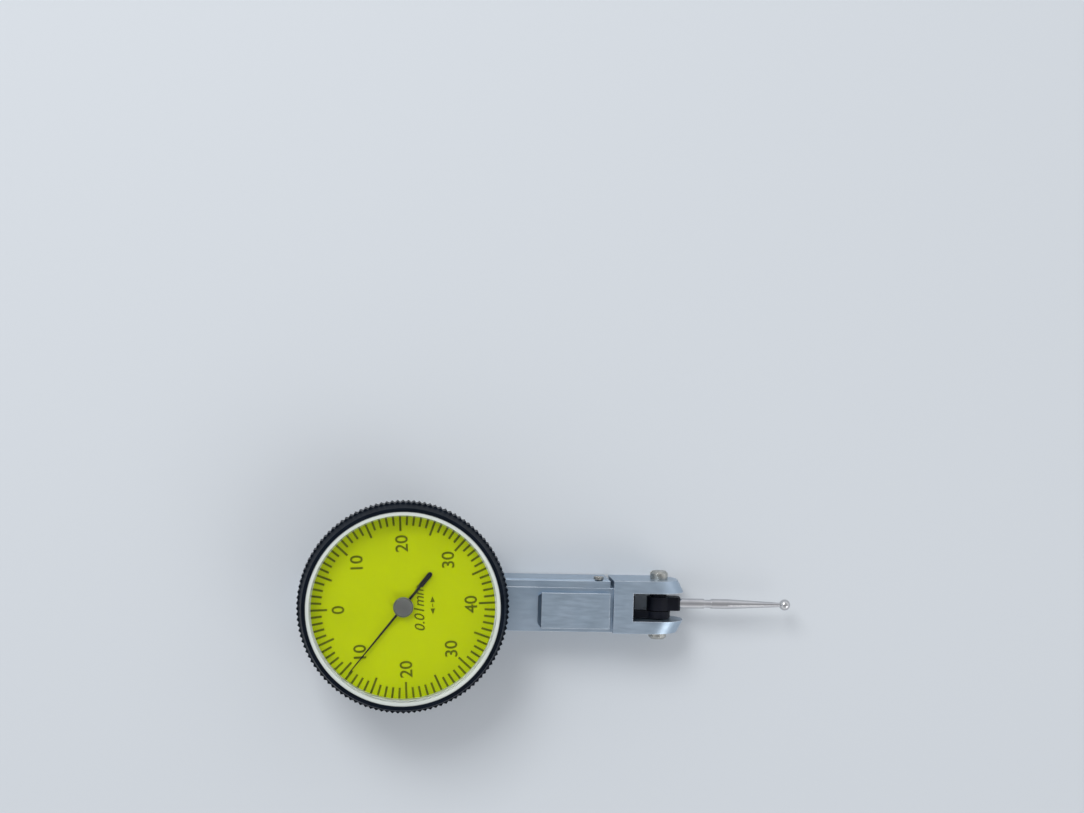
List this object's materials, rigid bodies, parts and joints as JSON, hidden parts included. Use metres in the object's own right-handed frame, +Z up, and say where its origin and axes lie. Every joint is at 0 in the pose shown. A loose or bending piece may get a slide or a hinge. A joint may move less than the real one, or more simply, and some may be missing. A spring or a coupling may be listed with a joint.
{
  "type": "dial test indicator",
  "caption": "Lever dial indicator: forked steel bar with dovetails, round turning dial and bezel, and a swivelling ball stylus that drives the pointer.",
  "frame": {"origin": "on the bar's flat underside, straight below the pointer's axis", "axes": "+X along the bar toward the ball of the stylus, +Y toward the side cover, +Z up to the dial's face"},
  "size_m": [0.0888, 0.037, 0.0166],
  "materials": {
    "satin_chrome": "satin plated steel, fine grain",
    "bezel_black": "black plated metal, satin",
    "case_metal": "satin turned metal",
    "screw_steel": "bright turned steel",
    "brass": "bright brass",
    "jewel": "polished synthetic ruby",
    "spring_bronze": "fine bronze strip",
    "dial_yellow": "matt yellow paint",
    "ring_grey": "pale satin ring",
    "clear": "clear crystal",
    "pointer_black": "black paint",
    "hub_grey": "satin grey",
    "swivel_black": "blackened steel",
    "polished_steel": "polished hardened steel",
    "carbide": "polished carbide"
  },
  "bodies": {
    "frame": {"indicator_body": "satin_chrome", "side_cover": "satin_chrome", "side_cover_screws": "screw_steel", "lower_cock": "brass", "lower_cock_screws": "screw_steel", "dial_case": "case_metal", "case_screws": "screw_steel", "upper_bridge": "brass", "bridge_screws": "screw_steel", "centre_jewel_lower": "jewel", "centre_jewel_upper": "jewel", "crown_jewel": "jewel", "crown_bearing_plug": "screw_steel", "pivot_screw_cover_side": "screw_steel", "pivot_screw_plain_side": "screw_steel", "bezel_snap_ring": "polished_steel", "hairspring": "spring_bronze", "hairspring_stud": "brass"},
    "bezel": {"bezel": "bezel_black", "crystal": "clear", "dial": "dial_yellow", "dial_ring": "ring_grey"},
    "lever": {"lever_pin": "polished_steel", "lever_arm": "swivel_black", "sector_gear": "brass", "sector_rivets": "polished_steel", "friction_washer": "spring_bronze", "clutch_nut": "screw_steel"},
    "stylus": {"swivel_block": "swivel_black", "stylus": "polished_steel", "contact_ball": "carbide"},
    "crown": {"crown_arbor": "polished_steel", "crown_wheel": "brass"},
    "pointer": {"centre_arbor": "polished_steel", "hairspring_collet": "brass", "pointer_hub": "hub_grey", "pointer": "pointer_black"}
  },
  "joints": [
    {"name": "bezel_turn", "type": "hinge", "parent": "frame", "child": "bezel", "pos_m": [0, 0, 0.0111], "axis": [0, 0, 1], "continuous": true},
    {"name": "lever_swing", "type": "hinge", "parent": "frame", "child": "lever", "pos_m": [0.04605, 0, 0.0048], "axis": [0, 1, 0], "range_deg": [-1.1, 1.1], "stiffness_Nm_per_rad": 0.3},
    {"name": "stylus_swivel", "type": "hinge", "parent": "lever", "child": "stylus", "pos_m": [0.04605, 0, 0.0048], "axis": [0, 1, 0], "range_deg": [-110, 110]},
    {"name": "crown_turn", "type": "hinge", "parent": "frame", "child": "crown", "pos_m": [0, 0, 0.0048], "axis": [0, 1, 0], "range_deg": [-56.5, 56.5]},
    {"name": "pointer_turn", "type": "hinge", "parent": "frame", "child": "pointer", "pos_m": [0, 0, 0.0048], "axis": [0, 0, 1], "range_deg": [-205, 205]}
  ],
  "couplings": [
    {"joint": "crown_turn", "follows": "lever_swing", "ratio": -50.167},
    {"joint": "pointer_turn", "follows": "lever_swing", "ratio": -182.75}
  ]
}
